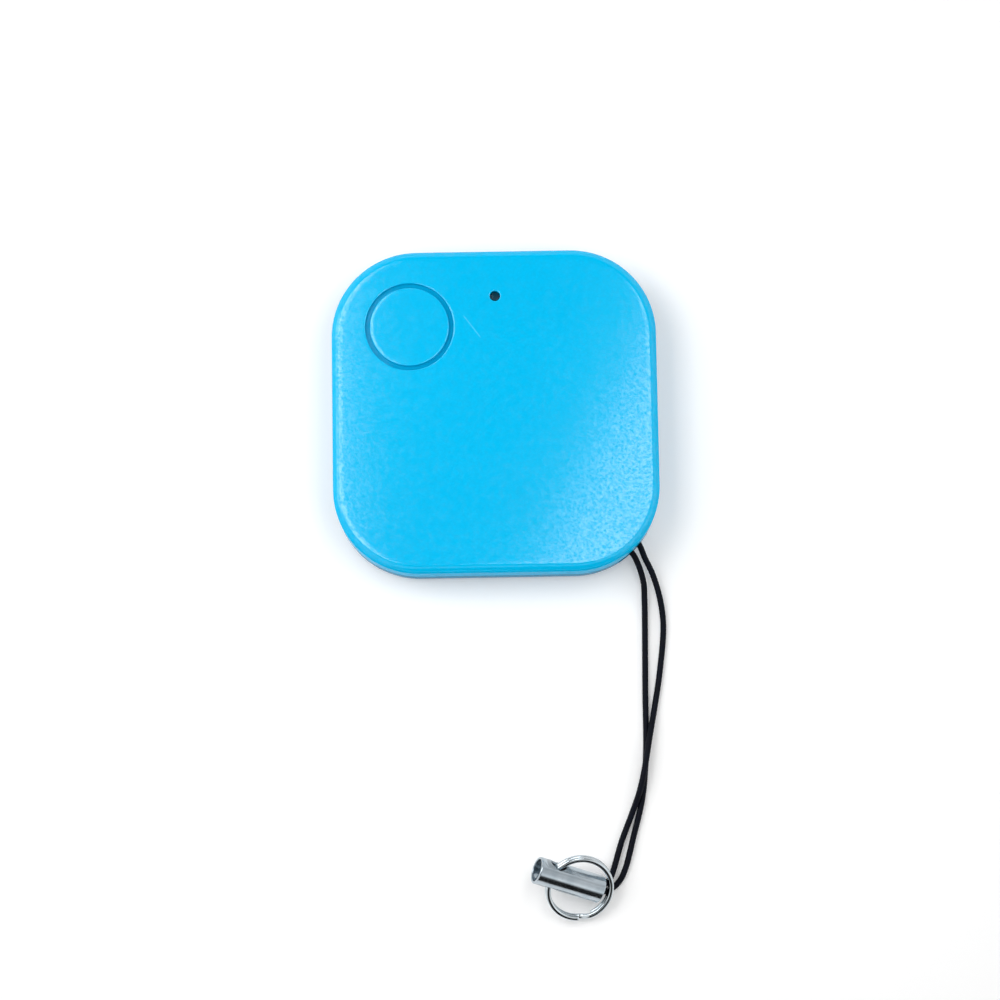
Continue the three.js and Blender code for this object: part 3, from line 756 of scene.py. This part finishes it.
def add_window(clear):
    """Round window with a flange under the face and a slightly crowned top."""
    window_top = CASE_TOP - WINDOW_DEPTH
    profile = softened((
        (0.0, CEILING - WINDOW_FLANGE),
        (WINDOW_FLANGE_R, CEILING - WINDOW_FLANGE, 0.08 * MM),
        (WINDOW_FLANGE_R, CEILING, 0.05 * MM),
        (WINDOW_R, CEILING, 0.03 * MM),
        (WINDOW_R, window_top, 0.1 * MM),
        (0.0, window_top + WINDOW_CROWN),
    ))
    bm = bmesh.new()
    turned(bm, profile, WINDOW, 40)
    window = add_object("light_window", mesh_of(bm, "light_window"), "front_shell")
    window.data.materials.append(clear)
    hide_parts("led_window")


# ---------------------------------------------------------------- strap end

def turned_about_hole(turn):
    """Matrix that places a piece about the middle of the ferrule's cross hole."""
    x, y, z = (math.radians(a) for a in turn)
    spin = Matrix.Rotation(z, 4, "Z") @ Matrix.Rotation(y, 4, "Y") @ Matrix.Rotation(x, 4, "X")
    return Matrix.Translation(CROSS_HOLE) @ spin


def add_ferrule():
    """Steel tube along X from its open end, with a cross hole for the ring."""
    start = -CROSS_HOLE_INSET
    end = start + FERRULE_LENGTH
    inner = FERRULE_R - FERRULE_WALL
    middle = (start + end) / 2
    profile = softened((
        (inner, middle),
        (inner, start, 0.1 * MM),
        (FERRULE_R, start, 0.14 * MM),
        (FERRULE_R, end, 0.14 * MM),
        (inner, end, 0.1 * MM),
        (inner, middle + 0.01 * MM),
    ))
    bm = bmesh.new()
    first, last = turned(bm, profile, steps=96, solid=False)
    for a, b, c, d in zip(first, first[1:] + first[:1], last[1:] + last[:1], last):
        bm.faces.new((a, b, c, d))
    bmesh.ops.rotate(bm, verts=bm.verts, matrix=Matrix.Rotation(math.pi / 2, 3, "Y"))
    ferrule = add_object("strap_ferrule", mesh_of(bm, "strap_ferrule"), "back_shell")
    hole = bmesh.new()
    turned(hole, ((CROSS_HOLE_R, -2 * FERRULE_R), (CROSS_HOLE_R, 2 * FERRULE_R)), steps=64)
    bmesh.ops.rotate(hole, verts=hole.verts, matrix=Matrix.Rotation(math.pi / 2, 3, "X"))
    cutter = bpy.data.objects.new("hole_cutter", mesh_of(hole, "hole_cutter"))
    bpy.context.scene.collection.objects.link(cutter)
    cut_with(ferrule, cutter)
    ferrule.data.transform(turned_about_hole(FERRULE_TURN))
    ferrule.data.materials.clear()
    ferrule.data.materials.append(metal_material(
        "satin_steel", rgb(168, 180, 188), rgb(186, 196, 203), 0.17,
        (3.0 * MM, 0.12 * MM, 0.12 * MM), FERRULE_TURN,
    ))
    even_normals(ferrule)
    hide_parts("cord_ferrule")
    return ferrule


def add_split_ring():
    """Two coils of flat wire with rounded edges, joined by a short step."""
    step = math.radians(RING_STEP)
    mid_r = RING_OUTER_R - RING_WIRE_WIDTH / 2
    h = RING_WIRE_HEIGHT / 2
    w = RING_WIRE_WIDTH / 2
    quarter = softened(((w, 0.0), (w, h, RING_EDGE_R), (0.0, h)), 4)
    section = [(x, y) for x, y in quarter]
    section += [(-x, y) for x, y in reversed(quarter[:-1])]
    section += [(-x, -y) for x, y in quarter[1:]]
    section += [(x, -y) for x, y in reversed(quarter[1:-1])]
    rows = []
    for i in range(RING_ROWS + 1):
        turn = step + (4 * math.pi - step) * i / RING_ROWS
        rise = min(1.0, max(0.0, (turn - 2 * math.pi) / step))
        rise = rise * rise * (3 - 2 * rise)
        lift = (RING_WIRE_HEIGHT + RING_COIL_GAP) * (rise - 0.5)
        from_end = min(i, RING_ROWS - i) / RING_END_ROWS
        taper = min(1.0, RING_END_HEIGHT + (1.0 - RING_END_HEIGHT) * from_end)
        out = Vector((math.cos(turn), math.sin(turn), 0.0))
        rows.append([out * (mid_r + x) + Vector((0, 0, lift + y * taper)) for x, y in section])
    bm = bmesh.new()
    loft(bm, rows, close_start=True, close_end=True)
    ring = add_object("wire_ring", mesh_of(bm, "wire_ring"), "key_ring")
    spin = Matrix.Rotation(math.radians(RING_STEP_PLACE), 4, "Z")
    place = Matrix.Translation(Vector((RING_REACH, 0, 0)))
    ring.data.transform(turned_about_hole(RING_TURN) @ place @ spin)
    ring.data.materials.append(metal_material(
        "polished_steel", rgb(190, 200, 206), rgb(208, 216, 220), 0.1,
        (0.4 * MM,) * 3,
    ))
    even_normals(ring)
    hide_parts("split_ring")
    return ring


# ---------------------------------------------------------------- inner pieces

def paint_inner_pieces():
    """Procedural materials for the CAD nodes that stay."""
    steel = metal_material(
        "sheet_steel", rgb(186, 190, 194), rgb(206, 209, 211), 0.28, (1.7 * MM, 0.2 * MM, 1.1 * MM)
    )
    brass = metal_material(
        "brass", rgb(201, 162, 74), rgb(214, 178, 92), 0.3, (0.25 * MM, 1.4 * MM, 1.1 * MM)
    )
    copper = metal_material(
        "tinned_copper", rgb(194, 122, 74), rgb(206, 140, 92), 0.3, (0.33 * MM,) * 3
    )
    resin = speckled_material("chip_resin", rgb(20, 20, 22), rgb(34, 34, 37), 0.6)
    tan = speckled_material("component_ceramic", rgb(170, 142, 106), rgb(190, 162, 126), 0.55)
    white = speckled_material("white_ceramic", rgb(226, 222, 210), rgb(238, 234, 224), 0.55)
    rubber = speckled_material("dark_gasket", rgb(48, 51, 54), rgb(66, 69, 72), 0.7)
    paste = speckled_material("cell_filling", rgb(66, 66, 64), rgb(84, 84, 82), 0.9)
    glue = speckled_material("cured_glue", rgb(228, 226, 217), rgb(240, 238, 230), 0.6)
    red = speckled_material("red_insulation", rgb(172, 30, 26), rgb(190, 42, 36), 0.5)
    black = speckled_material("black_insulation", rgb(18, 19, 20), rgb(30, 31, 33), 0.5)
    clear = bpy.data.materials["clear_plastic"]
    looks = {
        "board_laminate": board_material(),
        "steel": steel,
        "brass": brass,
        "copper": copper,
        "chip_resin": resin,
        "switch_plastic": resin,
        "component_tan": tan,
        "white_ceramic": white,
        "gasket_plastic": rubber,
        "cell_filling": paste,
        "glue": glue,
        "wire_red": red,
        "wire_black": black,
        "clear_plastic": clear,
    }
    slots = {s["node"]: s["material_slot"] for s in frame["record"]["subparts"]}
    for name, node in frame["nodes"].items():
        look = looks.get(slots[name])
        if look is None:
            continue
        node.data.materials.clear()
        node.data.materials.append(look)


def board_material():
    """Green solder mask over faint tracks."""
    n = Nodes("solder_mask", Coat_Weight=0.3, Coat_Roughness=0.2)
    weave = n.noise(2600.0, 2.0)
    tracks = n.cells(420.0, feature="DISTANCE_TO_EDGE")
    track = n.between(tracks, 0.05, 0.12, 1.0, 0.0)
    colour = n.mix(weave, rgb(12, 66, 40), rgb(16, 78, 48))
    n.out(n.mix(n.math("MULTIPLY", track, 0.5), colour, rgb(34, 112, 70)), "Base Color")
    n.out(n.between(weave, 0.3, 0.7, 0.32, 0.45), "Roughness")
    n.out(n.bump(track, 0.02 * MM, 0.5), "Normal")
    return n.material


# ---------------------------------------------------------------- stage

# The dark parts of the surroundings: direction, and the angles between which they fade
DARK_CEILING = ((0.0, 0.16, 0.987), 26.0, 55.0)
DARK_CARD = ((0.15, -0.94, 0.3), 20.0, 34.0)
ROOM_BRIGHTNESS = 0.9
DARK_BRIGHTNESS = 0.012
FLOOR_GLOW = 0.12

# Soft panels: place, aim, turn in degrees, width and depth in metres, and radiance
PANELS = {
    "right_panel": ((0.043, 0.002, 0.157), (0.043, 0.002, 0.0), -25.0, (0.06, 0.1), 3.6),
    "left_panel": ((-0.062, 0.02, 0.157), (-0.062, 0.02, 0.0), 0.0, (0.07, 0.12), 4.2),
    "right_softbox": ((0.42, -0.2, 0.5), (0.0, -0.02, 0.0), 0.0, (0.6, 0.6), 0.35),
    "left_softbox": ((-0.45, 0.1, 0.42), (0.0, -0.02, 0.0), 0.0, (0.3, 0.4), 2.0),
}


def add_floor():
    bm = bmesh.new()
    bmesh.ops.create_grid(bm, x_segments=8, y_segments=8, size=2.0)
    floor = bpy.data.objects.new("floor", mesh_of(bm, "floor"))
    bpy.context.scene.collection.objects.link(floor)
    n = Nodes(
        "white_sweep", Roughness=0.9, Specular_IOR_Level=0.0,
        Emission_Color=(1.0, 1.0, 1.0, 1.0), Emission_Strength=FLOOR_GLOW,
    )
    n.out(n.mix(n.noise(3.0), (0.93, 0.93, 0.93, 1.0), (0.95, 0.95, 0.95, 1.0)), "Base Color")
    floor.data.materials.append(n.material)


def add_panel(name, place, aim, turn, size, radiance):
    data = bpy.data.lights.new(name, "AREA")
    data.shape = "RECTANGLE"
    data.size, data.size_y = size
    data.energy = math.pi * size[0] * size[1] * radiance
    light = bpy.data.objects.new(name, data)
    facing = (Vector(aim) - Vector(place)).to_track_quat("-Z", "Y").to_matrix()
    spin = Matrix.Rotation(math.radians(turn), 3, "Z")
    light.matrix_world = Matrix.Translation(place) @ (facing @ spin).to_4x4()
    light.visible_camera = False
    bpy.context.scene.collection.objects.link(light)


def add_world():
    """White studio surroundings with a dark ceiling over the tag and a dark card beyond it."""
    world = bpy.data.worlds.new("studio")
    world.use_nodes = True
    nodes, links = world.node_tree.nodes, world.node_tree.links
    place = nodes.new("ShaderNodeTexCoord").outputs["Generated"]
    light = None
    for direction, inner, outer in (DARK_CEILING, DARK_CARD):
        along = nodes.new("ShaderNodeVectorMath")
        along.operation = "DOT_PRODUCT"
        along.inputs[1].default_value = direction
        links.new(place, along.inputs[0])
        fade = nodes.new("ShaderNodeMapRange")
        fade.interpolation_type = "SMOOTHSTEP"
        links.new(along.outputs["Value"], fade.inputs["Value"])
        fade.inputs["From Min"].default_value = math.cos(math.radians(outer))
        fade.inputs["From Max"].default_value = math.cos(math.radians(inner))
        fade.inputs["To Min"].default_value = ROOM_BRIGHTNESS
        fade.inputs["To Max"].default_value = DARK_BRIGHTNESS
        if light is None:
            light = fade.outputs["Result"]
            continue
        darker = nodes.new("ShaderNodeMath")
        darker.operation = "MINIMUM"
        links.new(light, darker.inputs[0])
        links.new(fade.outputs["Result"], darker.inputs[1])
        light = darker.outputs["Value"]
    links.new(light, nodes["Background"].inputs["Strength"])
    nodes["Background"].inputs["Color"].default_value = (1.0, 1.0, 1.0, 1.0)
    bpy.context.scene.world = world


def add_lights():
    for name, settings in PANELS.items():
        add_panel(name, *settings)
    bpy.context.scene.view_settings.view_transform = "Standard"


# ---------------------------------------------------------------- making

add_camera()
add_world()
add_lights()
add_floor()
cord, cord_path = add_cord()
ferrule = add_ferrule()
ring = add_split_ring()
turquoise = plastic_material(
    "turquoise_plastic", rgb(0, 178, 230), rgb(0, 187, 238), FACE_GLOSS
)
# Painted shade: the back cover and the post get a darker, greyer copy of the turquoise that stands
# for the shade along the case's lower side
turquoise_painted_shade = plastic_material(
    "back_plastic_painted_shade", rgb(34, 128, 166), rgb(40, 136, 174), FACE_GLOSS
)
clear_plastic = clear_material()
add_front_cover(turquoise)
add_back_cover(turquoise_painted_shade)
add_post(turquoise_painted_shade)
add_bosses(turquoise)
add_button(turquoise)
add_window(clear_plastic)
paint_inner_pieces()
